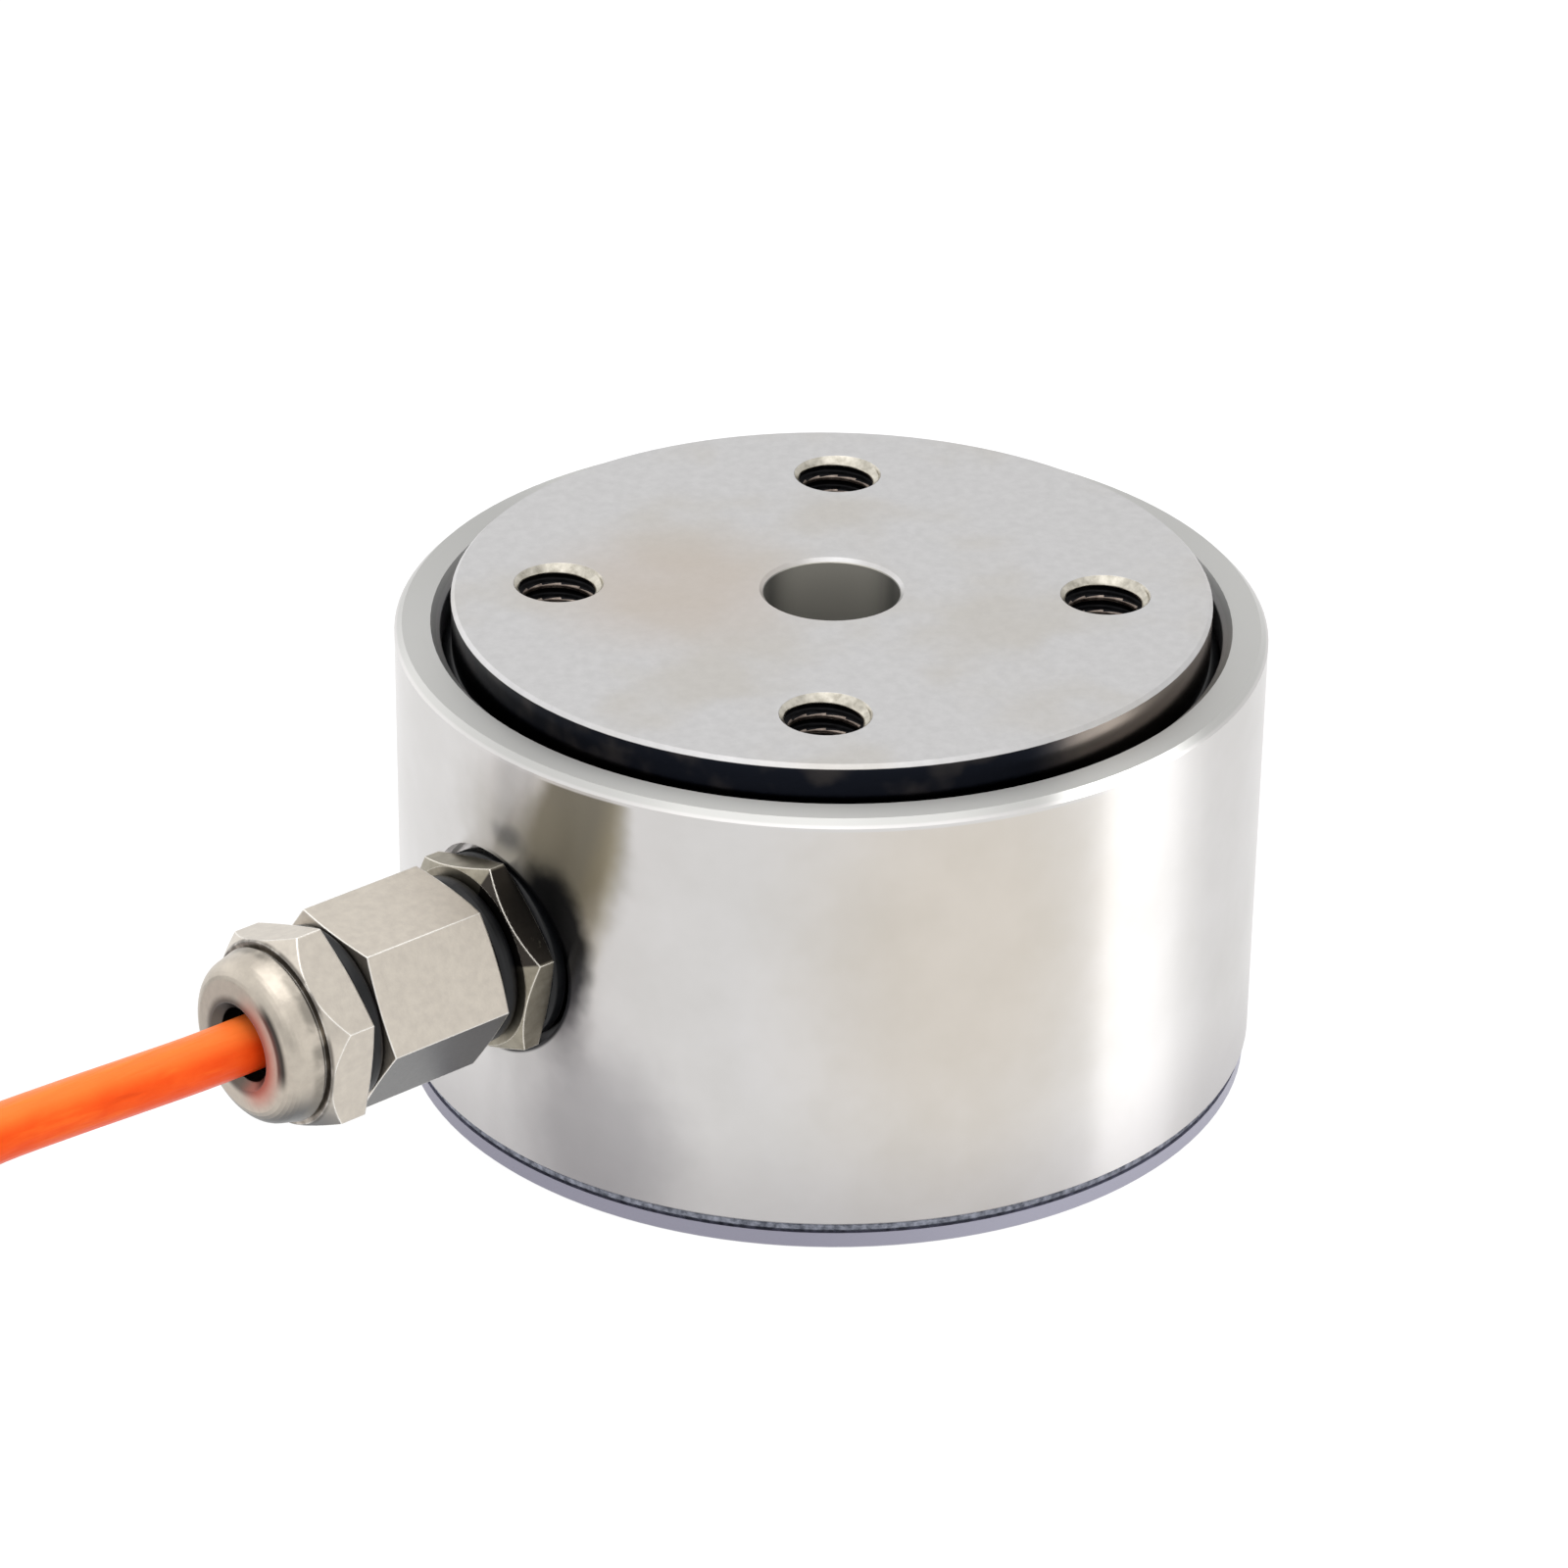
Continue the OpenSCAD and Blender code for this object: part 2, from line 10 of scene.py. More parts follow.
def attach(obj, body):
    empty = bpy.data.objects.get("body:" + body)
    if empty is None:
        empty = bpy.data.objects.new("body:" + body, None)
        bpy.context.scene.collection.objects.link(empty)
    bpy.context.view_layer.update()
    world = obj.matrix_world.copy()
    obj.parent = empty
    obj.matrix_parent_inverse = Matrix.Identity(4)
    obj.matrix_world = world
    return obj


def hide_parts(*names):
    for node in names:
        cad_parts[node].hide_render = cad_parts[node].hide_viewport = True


MM = 0.001
SENSOR_WIDTH = 36.0

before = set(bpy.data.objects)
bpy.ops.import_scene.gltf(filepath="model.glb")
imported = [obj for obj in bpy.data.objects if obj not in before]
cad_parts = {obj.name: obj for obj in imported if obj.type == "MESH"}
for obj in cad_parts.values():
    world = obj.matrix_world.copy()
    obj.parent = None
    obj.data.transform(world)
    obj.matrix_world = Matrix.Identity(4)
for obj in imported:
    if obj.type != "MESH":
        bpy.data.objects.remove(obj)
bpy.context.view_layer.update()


def look_from(name, place_mm, right, up, lens):
    """A camera at a place in millimetres, turned by its right and up directions."""
    cam = bpy.data.objects.new(name, bpy.data.cameras.new(name))
    bpy.context.collection.objects.link(cam)
    right, up = Vector(right).normalized(), Vector(up).normalized()
    back = right.cross(up)
    turn = Matrix((right, up, back)).transposed().to_4x4()
    cam.matrix_world = Matrix.Translation(Vector(place_mm) * MM) @ turn
    cam.data.sensor_width = SENSOR_WIDTH
    cam.data.lens = lens
    cam.data.clip_start, cam.data.clip_end = 0.02, 20
    return cam


bpy.context.scene.camera = look_from(
    "camera", (-309.23, -349.52, 273.33), (0.75867, -0.65137, 0.01127), (0.29780, 0.36214, 0.88327), 130.31)


# Sizes that the CAD has too, in millimetres
BODY_R, WALL, TOTAL_H, PROUD = 40.0, 4.2, 46.0, 2.7
SLEEVE_TOP = TOTAL_H - PROUD
SLEEVE_R = BODY_R - WALL
DISC_R, DISC_CHAMFER = SLEEVE_R - 1.0, 0.35
BORE_R = 6.25
GLAND_Z, POCKET_R = 22.8, 9.7
HOLE_TURN, HOLE_R, HOLE_SINK, HOLE_DEEP, PCD_R = 47.7, 4.0, 0.15, 10.5, 25.0
THREAD_PITCH, THREAD_DEEP = 1.5, 0.62
CABLE_R, LEAD_R, SHRINK_T = 2.5, 0.55, 0.4
COIL_AT, COIL_IN_R, COIL_WIDE, COIL_HIGH = (-118.0, 37.3), 21.0, 4, 4
COIL_H, COIL_HOLE_R, COIL_OUT_R = COIL_HIGH * 2 * CABLE_R, COIL_IN_R - CABLE_R, COIL_IN_R + 7 * CABLE_R
TIE_T, TIE_W = 1.0, 3.6
TAIL_R, TAIL_TO = 28.5, 195.0
TAIL_Z = TIE_T + COIL_H + CABLE_R + SHRINK_T + 0.05
ROUTE = [(-60, 0, 22.8), (-66, 0, 22.8), (-72, 0.1, 22.8), (-78, 0.5, 22.8), (-85, 1, 22.8), (-92, 1.3, 22.8),
         (-96.5, 1.3, 22.4), (-99.8, 1.3, 21.6), (-104, 1.3, 20.1), (-108.5, 1.3, 18.9), (-113, 1.3, 18.5)]


def smooth(s):
    s = min(1.0, max(0.0, s))
    return s * s * (3 - 2 * s)


def on_coil(r, degrees, z):
    a = math.radians(degrees)
    return Vector((COIL_AT[0] + r * math.cos(a), COIL_AT[1] + r * math.sin(a), z))


def wound_line():
    """The turns, from the top of the outermost column, down and up each column inward, then the tail on top."""
    step, cross, per_turn = 2 * CABLE_R, 120.0, 36
    order = []
    for column in reversed(range(COIL_WIDE)):
        layers = range(COIL_HIGH)
        for layer in (reversed(layers) if (COIL_WIDE - column) % 2 else layers):
            order.append((COIL_IN_R + column * step, TIE_T + CABLE_R + layer * step))
    points, turn = [], -90.0
    climb_from = -13.0 - 360.0
    for (r, z), (goal_r, goal_z) in zip(order, order[1:] + order[-1:]):
        for k in range(per_turn):
            a = 360.0 * k / per_turn
            if (r, z) == order[-1] and turn - a < turn + 90 + climb_from:
                break
            go = smooth((a - (360 - cross)) / cross)
            points.append(on_coil(r + (goal_r - r) * go, turn - a, z + (goal_z - z) * go))
        turn -= 360.0
    r, z = order[-1]
    for k in range(1, 33):
        a = -13.0 - 152.0 * k / 32
        rise, out = smooth((-13 - a) / 92), smooth((-50 - a) / 105)
        points.append(on_coil(r + (TAIL_R - r) * out, a, z + (TAIL_Z - z) * rise))
    return points


def sweep(name, points, radius, sides=16, swell=None):
    """A round tube in millimetres along points, with rings that don't twist; swell gives each ring its share."""
    bm = bmesh.new()
    rings, side = [], Vector((0.1, 1, 0.2))
    for i, p in enumerate(points):
        d = (points[min(i + 1, len(points) - 1)] - points[max(i - 1, 0)]).normalized()
        side = (side - d * side.dot(d)).normalized()
        up = d.cross(side)
        r = radius * (swell(i / (len(points) - 1)) if swell else 1.0)
        rings.append([bm.verts.new((p + r * (math.cos(2 * math.pi * k / sides) * side
                                             + math.sin(2 * math.pi * k / sides) * up)) * MM) for k in range(sides)])
    for a, b in zip(rings, rings[1:]):
        for k in range(sides):
            bm.faces.new((a[k], a[(k + 1) % sides], b[(k + 1) % sides], b[k]))
    bm.faces.new(list(reversed(rings[0])))
    bm.faces.new(rings[-1])
    return finish_mesh(name, bm)


def finish_mesh(name, bm, smooth_faces=True):
    bmesh.ops.recalc_face_normals(bm, faces=bm.faces)
    for f in bm.faces:
        f.smooth = smooth_faces and len(f.verts) == 4
    mesh = bpy.data.meshes.new(name)
    bm.to_mesh(mesh)
    bm.free()
    obj = bpy.data.objects.new(name, mesh)
    bpy.context.collection.objects.link(obj)
    return obj


def curve_through(points, step):
    """Points on a smooth line through the given ones, about step apart."""
    ext = [2 * points[0] - points[1], *points, 2 * points[-1] - points[-2]]
    out = []
    for i in range(1, len(ext) - 2):
        p0, p1, p2, p3 = ext[i - 1:i + 3]
        n = max(1, round((p2 - p1).length / step))
        for k in range(n):
            t = k / n
            out.append(0.5 * (2 * p1 + (p2 - p0) * t + (2 * p0 - 5 * p1 + 4 * p2 - p3) * t * t
                              + (3 * p1 - p0 - 3 * p2 + p3) * t ** 3))
    return out + [points[-1]]


def part(obj, slot, *nodes):
    """A piece that rides on the load cell and stands for the CAD nodes named; slot is not used."""
    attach(obj, "root")
    if nodes:
        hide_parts(*nodes)
    return obj


route = [Vector(p) for p in ROUTE]
line = curve_through(route, 2.0)[:-1] + wound_line()
cable = part(sweep("cable", line, CABLE_R, 20), "orange_jacket", "cable_run", "cable_coil", "cable_tail")

# The shrunk sleeve over the jacket's end, drawn in round the cores
shrunk_sleeve = part(sweep("shrunk_sleeve", [on_coil(TAIL_R, TAIL_TO + 14 - 24 * k / 23, TAIL_Z) for k in range(24)],
                           CABLE_R + SHRINK_T, 24,
                           lambda s: 0.93 + 0.07 * smooth(s / 0.06) - 0.3 * smooth((s - 0.62) / 0.2)
                           - 0.1 * smooth((s - 0.95) / 0.05)), "black_plastic", "end_sleeve")


def lead_line(spread, lift, long_a):
    """The places of a lead, from inside the sleeve down onto the coil."""
    points = []
    for i in range(49):
        s = i / 48
        free = smooth(s * 1.6)
        low = TIE_T + COIL_H + LEAD_R + 0.05
        points.append(on_coil(TAIL_R + spread * (0.3 + 0.7 * free), TAIL_TO - 0.8 - long_a * s,
                              TAIL_Z + lift * (1 - free) + (low - TAIL_Z) * free))
    return points


LEADS = {"red": (-4.4, 0.9, 74), "black": (-2.2, -0.95, 80), "green": (2.2, -0.95, 77), "white": (4.4, 0.9, 72)}
STRIPPED = 5
leads, ends = {}, []
for colour_name, place in LEADS.items():
    points = lead_line(*place)
    leads[colour_name] = part(sweep(f"wire_{colour_name}", points[:-STRIPPED], LEAD_R, 14,
                                    lambda s: 1 - 0.12 * smooth((s - 0.985) / 0.015)),
                              f"{colour_name}_wire", f"lead_{colour_name}")
    ends.append(points[-STRIPPED - 2:])


def twisted(bm, points, bundle_r, strand_r, strands, turns):
    """Bare strands that wind round the line through the points."""
    dense = curve_through(points, 0.25)
    for n in range(strands):
        rings, side = [], Vector((0, 0, 1))
        for i, p in enumerate(dense):
            d = (dense[min(i + 1, len(dense) - 1)] - dense[max(i - 1, 0)]).normalized()
            side = (side - d * side.dot(d)).normalized()
            up = d.cross(side)
            a = 2 * math.pi * (n / strands + turns * i / len(dense))
            c = p + bundle_r * (math.cos(a) * side + math.sin(a) * up)
            rings.append([bm.verts.new((c + strand_r * (math.cos(k * math.pi / 3) * side
                                                        + math.sin(k * math.pi / 3) * up)) * MM) for k in range(6)])
        for a, b in zip(rings, rings[1:]):
            for k in range(6):
                bm.faces.new((a[k], a[(k + 1) % 6], b[(k + 1) % 6], b[k]))
        bm.faces.new(list(reversed(rings[0])))
        bm.faces.new(rings[-1])


bm = bmesh.new()
for points in ends:
    twisted(bm, points, 0.2, 0.16, 6, 1.5)
stripped_ends = part(finish_mesh("stripped_ends", bm), "copper")
bm = bmesh.new()
twisted(bm, lead_line(0, 0.3, 68), 0.3, 0.23, 6, 8)
wire_drain = part(finish_mesh("wire_drain", bm), "copper", "lead_drain")


def tie_band(name, degrees, node):
    """A tie's band: a flat strap with soft edges, drawn tight round the coil."""
    in_x = math.sqrt(COIL_HOLE_R ** 2 - TIE_W ** 2 / 4) - 0.05
    out_x, low, high, bend = COIL_OUT_R + 0.05, TIE_T, TIE_T + COIL_H + 0.05, 2.2
    loop = []
    for cx, cz, start in ((out_x - bend, low + bend, -90), (out_x - bend, high - bend, 0),
                          (in_x + bend, high - bend, 90), (in_x + bend, low + bend, 180)):
        for k in range(9):
            a = math.radians(start + 90 * k / 8)
            loop.append((cx, cz, math.cos(a), math.sin(a)))
    h, t, e = TIE_W / 2, TIE_T - 0.05, 0.22
    section = [(-h, e), (-h, t - e), (-h + e, t), (h - e, t), (h, t - e), (h, e), (h - e, 0), (-h + e, 0)]
    bm = bmesh.new()
    turn = Matrix.Translation(Vector((COIL_AT[0], COIL_AT[1], 0)) * MM) @ Matrix.Rotation(math.radians(degrees), 4, "Z")
    rings = [[bm.verts.new(turn @ (Vector((cx + (bend + v) * nx, u, cz + (bend + v) * nz)) * MM)) for u, v in section]
             for cx, cz, nx, nz in loop]
    for i, ring in enumerate(rings):
        nxt = rings[(i + 1) % len(rings)]
        for k in range(8):
            bm.faces.new((ring[k], ring[(k + 1) % 8], nxt[(k + 1) % 8], nxt[k]))
    return part(finish_mesh(name, bm), "black_plastic", node), turn, out_x


def soft_block(bm, turn, low, high, soft):
    """A block with softened edges and a sunken outer face, added to a mesh."""
    made = bmesh.ops.create_cube(bm, size=1)["verts"]
    size = Vector(high) - Vector(low)
    for v in made:
        v.co = turn @ ((Vector(low) + Vector([size[i] * (v.co[i] + 0.5) for i in range(3)])) * MM)
    faces = list({f for v in made for f in v.link_faces})
    front = max(faces, key=lambda f: (turn.inverted() @ f.calc_center_median()).x)
    bmesh.ops.inset_region(bm, faces=[front], thickness=0.8 * MM, depth=-0.5 * MM)
    edges = list({e for v in made for e in v.link_edges})
    bmesh.ops.bevel(bm, geom=edges, offset=soft * MM, segments=3, affect="EDGES")


ties, bm = [], bmesh.new()
for name, degrees, node in (("tie_behind", 95, "coil_tie_1"), ("tie_by_gland", -5, "coil_tie_2")):
    band, turn, out_x = tie_band(name, degrees, node)
    ties.append(band)
    soft_block(bm, turn, (out_x + 0.2, -TIE_W / 2 - 0.6, COIL_H - 5), (out_x + 3.2, TIE_W / 2 + 0.6, COIL_H - 0.4), 0.35)
    soft_block(bm, turn, (out_x + 1.1, -TIE_W / 2 + 0.2, COIL_H - 9), (out_x + 2.1, TIE_W / 2 - 0.2, COIL_H - 4.6), 0.2)
tie_heads = part(finish_mesh("tie_heads", bm), "black_plastic")


def thread_lining(name, z, way):
    """The cut threads of the four tapped holes in one face, with the lead-in cone; way is -1 downward, 1 upward."""
    bm = bmesh.new()
    around, per_pitch = 60, 12
    rows = int(HOLE_DEEP / THREAD_PITCH * per_pitch)
    for h in range(4):
        a = math.radians(HOLE_TURN + 90 * h)
        cx, cy = PCD_R * math.cos(a), PCD_R * math.sin(a)
        grid = []
        for j in range(rows + 1):
            depth = 0.01 + (HOLE_DEEP - 0.01) * j / rows
            ring = []
            for k in range(around):
                turn = k / around
                phase = (depth / THREAD_PITCH - way * turn) % 1.0
                ridge = smooth((0.5 - abs(phase - 0.5) - 0.12) / 0.3)
                r = max(HOLE_R - 0.03 - THREAD_DEEP * ridge, HOLE_R + HOLE_SINK - 0.03 - depth)
                ring.append((bm.verts.new(Vector((cx + r * math.cos(2 * math.pi * turn),
                                                  cy + r * math.sin(2 * math.pi * turn), z + way * depth)) * MM), r))
            grid.append(ring)
        for j, (upper, lower) in enumerate(zip(grid, grid[1:])):
            for k in range(around):
                quad = (upper[k], upper[(k + 1) % around], lower[(k + 1) % around], lower[k])
                f = bm.faces.new([v for v, _ in quad])
                cone = HOLE_DEEP * (j + 1) / rows < THREAD_DEEP + HOLE_SINK
                crest = sum(r for _, r in quad) / 4 < HOLE_R - 0.03 - THREAD_DEEP * 0.8
                f.material_index = 0 if cone else 2 if crest else 1
    bmesh.ops.recalc_face_normals(bm, faces=bm.faces)
    for f in bm.faces:
        f.smooth = True
    mesh = bpy.data.meshes.new(name)
    bm.to_mesh(mesh)
    bm.free()
    mesh.flip_normals()
    obj = bpy.data.objects.new(name, mesh)
    bpy.context.collection.objects.link(obj)
    return part(obj, "turned_steel")


threads = [thread_lining("disc_threads", TOTAL_H, -1), thread_lining("base_threads", 0.0, 1)]


def linear(hex_colour):
    """An sRGB hex colour as linear RGB and alpha."""
    channels = [int(hex_colour[i:i + 2], 16) / 255 for i in (1, 3, 5)]
    return [c / 12.92 if c <= 0.04045 else ((c + 0.055) / 1.055) ** 2.4 for c in channels] + [1.0]


def add(tree, kind, inputs=None, **settings):
    """A node with its settings; each input is a value or the socket that feeds it."""
    n = tree.nodes.new("ShaderNode" + kind)
    for key, value in settings.items():
        setattr(n, key, value)
    for key, value in (inputs or {}).items():
        if isinstance(value, bpy.types.NodeSocket):
            tree.links.new(value, n.inputs[key])
        else:
            n.inputs[key].default_value = value
    return n


def material(name, **values):
    """A new material with its shader's own values set, and its tree, shader and place in millimetres."""
    mat = bpy.data.materials.new(name)
    mat.use_nodes = True
    tree = mat.node_tree
    shader = tree.nodes["Principled BSDF"]
    for key, value in values.items():
        shader.inputs[key.replace("_", " ")].default_value = value
    where = add(tree, "TexCoord").outputs["Object"]
    mm = add(tree, "VectorMath", {0: where, 1: (1000, 1000, 1000)}, operation="MULTIPLY").outputs[0]
    return mat, tree, shader, mm


def mottle(tree, place, size_mm, dark, light, detail=4.0):
    """A noise of a real size, turned into colours between two hex values, and the noise itself."""
    cloud = add(tree, "TexNoise", {"Vector": place, "Scale": 1 / size_mm, "Detail": detail, "Roughness": 0.6})
    ramp = add(tree, "ValToRGB", {"Fac": cloud.outputs["Fac"]})
    ramp.color_ramp.elements[0].position, ramp.color_ramp.elements[1].position = 0.35, 0.65
    ramp.color_ramp.elements[0].color, ramp.color_ramp.elements[1].color = linear(dark), linear(light)
    return ramp.outputs["Color"], cloud.outputs["Fac"]


def wire(tree, socket, target):
    tree.links.new(socket, target)


def round_place(tree, mm):
    """Where a point lies on the round body: its radius, its height and its turn from the gland, in degrees."""
    part_of = add(tree, "SeparateXYZ", {0: mm})
    x, y, z = part_of.outputs
    flat = add(tree, "VectorMath", {0: mm, 1: (1, 1, 0)}, operation="MULTIPLY").outputs[0]
    radius = add(tree, "VectorMath", {0: flat}, operation="LENGTH").outputs["Value"]
    back = add(tree, "Math", {0: x, 1: -1.0}, operation="MULTIPLY").outputs[0]
    turn = add(tree, "Math", {0: add(tree, "Math", {0: y, 1: back}, operation="ARCTAN2").outputs[0],
                              1: 180 / math.pi}, operation="MULTIPLY").outputs[0]
    return radius, z, turn


def between(tree, value, start, full):
    """A soft step from 0 at start to 1 at full."""
    return add(tree, "MapRange", {"Value": value, "From Min": start, "From Max": full},
               interpolation_type="SMOOTHSTEP").outputs[0]


def both(tree, a, b):
    return add(tree, "Math", {0: a, 1: b}, operation="MULTIPLY").outputs[0]


def stained(tree, colour, mask, stain, share=1.0, way="MIX"):
    """The colour with a stain's colour laid over it where the mask is."""
    return add(tree, "Mix", {0: both(tree, mask, share), 6: colour, 7: linear(stain)}, data_type="RGBA",
               blend_type=way).outputs[2]


def chosen(tree, mask, outside, inside):
    """One number outside the mask and another inside it."""
    return add(tree, "Mix", {0: mask, 2: outside, 3: inside}, data_type="FLOAT").outputs[0]


def soft_edges_and_highlight(tree, radius_mm):
    """Softened normals at the sharp edges, and a mask that is 1 along them."""
    soft = add(tree, "Bevel", {"Radius": radius_mm * MM}, samples=6).outputs[0]
    flat = add(tree, "NewGeometry").outputs["True Normal"]
    same = add(tree, "VectorMath", {0: soft, 1: flat}, operation="DOT_PRODUCT").outputs["Value"]
    return soft, between(tree, same, 0.985, 0.93)


# Ground stainless steel: the faces are ground flat and satin, with a fine grain; the disc's side is finely turned,
# and its colour is a painted reflection: nearly black, with brown patches and a lighter band. The bore is reamed smooth
# and its sides are painted darker as painted shade, and the base's rim by the floor is painted darker as painted shade
ground_steel, t, shader, mm = material("ground stainless steel", Metallic=1.0)
colour, cloud = mottle(t, mm, 1.1, "#c3c2c2", "#cac9c9", 6.0)
broad = add(t, "TexNoise", {"Vector": mm, "Scale": 1 / 14, "Detail": 2.0}).outputs["Fac"]
colour = stained(t, colour, between(t, broad, 0.45, 0.7), "#bab3a6", 0.4)
from_patch = add(t, "VectorMath", {0: mm, 1: (-11, 9, TOTAL_H)}, operation="DISTANCE").outputs["Value"]
colour = stained(t, colour, between(t, from_patch, 17, 4), "#c0b3a6", 0.55)
radius, height, turn = round_place(t, mm)
# Painted reflection: the disc's side is painted nearly black, with brown patches, as the reflection of a dark room
disc_side = both(t, both(t, between(t, radius, DISC_R - 0.25, DISC_R - 0.1),
                         between(t, height, TOTAL_H - DISC_CHAMFER + 0.02, TOTAL_H - DISC_CHAMFER - 0.08)),
                 between(t, height, 25, 26))
side_cloud = add(t, "TexNoise", {"Vector": mm, "Scale": 1 / 6, "Detail": 3.0}).outputs["Fac"]
colour = stained(t, colour, disc_side, "#1b1e26")
colour = stained(t, colour, both(t, disc_side, between(t, side_cloud, 0.5, 0.68)), "#5a5450", 0.35)
bore = between(t, radius, BORE_R + 0.1, BORE_R + 0.05)
colour = stained(t, colour, bore, "#b4b1a8")
# Painted shade: the bore's walls are painted darker, all but the part of the wall toward +X and +Y
far_wall = add(t, "VectorMath", {0: mm, 1: (0.66, 0.75, 0)}, operation="DOT_PRODUCT").outputs["Value"]
colour = stained(t, colour, both(t, bore, between(t, far_wall, 5.8, 2.5)), "#3b3c3d", 0.8)
# Painted shade: the base's rim by the floor is painted darker and bluer, most at -85 to -40 degrees from the gland
low_rim_shade = both(t, between(t, radius, 38.5, 39), between(t, height, 2.2, 1.8))
colour = stained(t, colour, low_rim_shade, "#a8a7b5")
colour = stained(t, colour, both(t, low_rim_shade, between(t, turn, -85, -40)), "#8a8896", 0.7)
# Painted reflection: a lighter brownish band on one stretch of the disc's side
side_reflection_band = both(t, between(t, turn, -78, -98), between(t, turn, -152, -132))
colour = stained(t, colour, both(t, disc_side, side_reflection_band), "#a89c92", 0.6)
wire(t, colour, shader.inputs["Base Color"])
grain = add(t, "TexNoise", {"Vector": mm, "Scale": 1 / 0.3, "Detail": 3.0})
satin = add(t, "MapRange", {"Value": grain.outputs["Fac"], "To Min": 0.36, "To Max": 0.46}).outputs[0]
wire(t, chosen(t, bore, chosen(t, disc_side, satin, 0.22), 0.3), shader.inputs["Roughness"])
wire(t, chosen(t, bore, 1.0, 0.4), shader.inputs["Metallic"])
wire(t, add(t, "Bump", {"Height": grain.outputs["Fac"], "Strength": 0.15, "Distance": 0.00003}).outputs[0],
     shader.inputs["Normal"])

# Turned and polished stainless steel: fine grooves run round it, so reflections stretch up and down. Round the gland
# its colour holds painted reflections of the lock nut and the gland and painted shade, and it is painted darker towards
# the floor as painted shade
turned_steel, t, shader, mm = material("turned stainless steel", Metallic=1.0, Anisotropic=1.0,
                                       Anisotropic_Rotation=0.25)
colour, cloud = mottle(t, mm, 14, "#cfcdcb", "#d6d4d3")
radius, height, turn = round_place(t, mm)
wall = both(t, between(t, radius, BODY_R - 0.75, BODY_R - 0.6), between(t, height, SLEEVE_TOP - 0.9, SLEEVE_TOP - 1.1))
ragged = add(t, "TexNoise", {"Vector": mm, "Scale": 1 / 3.5, "Detail": 2.0}).outputs["Fac"]
ragged = add(t, "MapRange", {"Value": ragged, "From Min": 0.3, "From Max": 0.7, "To Min": -0.45, "To Max": 0.45}).outputs[0]


def painted_patch(turn_at, turn_half, height_at, height_half, soft=0.5, rag=1.0, lean=0.0, widen=0.0):
    """A round-ended patch on the sleeve's wall for painted reflection and painted shade, by its turn from the gland and
    its height; lean and widen are degrees for each millimetre down."""
    down = add(t, "Math", {0: height_at, 1: height}, operation="SUBTRACT").outputs[0]
    middle = add(t, "Math", {0: down, 1: lean, 2: turn_at}, operation="MULTIPLY_ADD").outputs[0]
    half = add(t, "Math", {0: down, 1: widen, 2: turn_half}, operation="MULTIPLY_ADD").outputs[0]
    across = add(t, "Math", {0: add(t, "Math", {0: turn, 1: middle}, operation="SUBTRACT").outputs[0], 1: half},
                 operation="DIVIDE").outputs[0]
    along = add(t, "Math", {0: add(t, "Math", {0: height, 1: height_at}, operation="SUBTRACT").outputs[0],
                            1: height_half}, operation="DIVIDE").outputs[0]
    far = add(t, "VectorMath", {0: add(t, "CombineXYZ", {0: across, 1: along}).outputs[0]},
              operation="LENGTH").outputs["Value"]
    far = add(t, "Math", {0: both(t, ragged, rag), 1: far}, operation="ADD").outputs[0]
    return both(t, wall, between(t, far, 1 + soft, 1 - soft))


# Painted reflections of the lock nut and the gland: olive, grey and near-black patches on the wall round the gland, and
# painted shade under it
colour = stained(t, colour, painted_patch(-16, 6.5, 41, 13.5, 0.3, 0.1, 0.35, 0.35), "#6a6450", 0.82)
colour = stained(t, colour, painted_patch(-5, 9, 35, 5, 0.9, 0.3), "#8b8678", 0.5)
colour = stained(t, colour, painted_patch(-19, 2.2, 34, 9, 0.7, 0.3, 0.3), "#a79d84", 0.4)
colour = stained(t, colour, painted_patch(-10.6, 6.6, 25.8, 8, 0.22, 0.15), "#15171d", 0.94)
colour = stained(t, colour, painted_patch(-4, 2.4, 35, 1.2, 0.7, 0.5), "#54575c", 0.6)
colour = stained(t, colour, painted_patch(-13, 3.2, 18.5, 5, 0.8, 0.3), "#5f5b5d", 0.5)
# Painted shade: the wall is painted darker low down by the gland and towards the floor
colour = stained(t, colour, painted_patch(-18, 11, 7.5, 9.5, 0.6, 0.1), "#8f8c90", 0.55)
colour = stained(t, colour, both(t, wall, between(t, height, 14, 1)), "#c3c0c4", 0.42, "MULTIPLY")
colour = stained(t, colour, painted_patch(-66, 18, 30, 22, 0.7, 0.1), "#f8eedd", 0.6, "MULTIPLY")
colour = stained(t, colour, between(t, height, SLEEVE_TOP - 0.56, SLEEVE_TOP - 0.4), "#c0c0bd", 0.8)
ahead = add(t, "VectorMath", {0: add(t, "VectorMath", {0: mm, 1: (0, 0, GLAND_Z)}, operation="SUBTRACT").outputs[0],
                              1: (0, 1, 1)}, operation="MULTIPLY").outputs[0]
off_gland = add(t, "VectorMath", {0: ahead}, operation="LENGTH").outputs["Value"]
# Painted shade: the seat cut for the gland is painted near black
pocket_shade = both(t, between(t, off_gland, POCKET_R + 0.45, POCKET_R + 0.15),
              between(t, add(t, "SeparateXYZ", {0: mm}).outputs["X"], -20, -25))
pocket_shade = both(t, pocket_shade, between(t, turn, 2, -4))
colour = stained(t, colour, pocket_shade, "#17181c", 0.92)
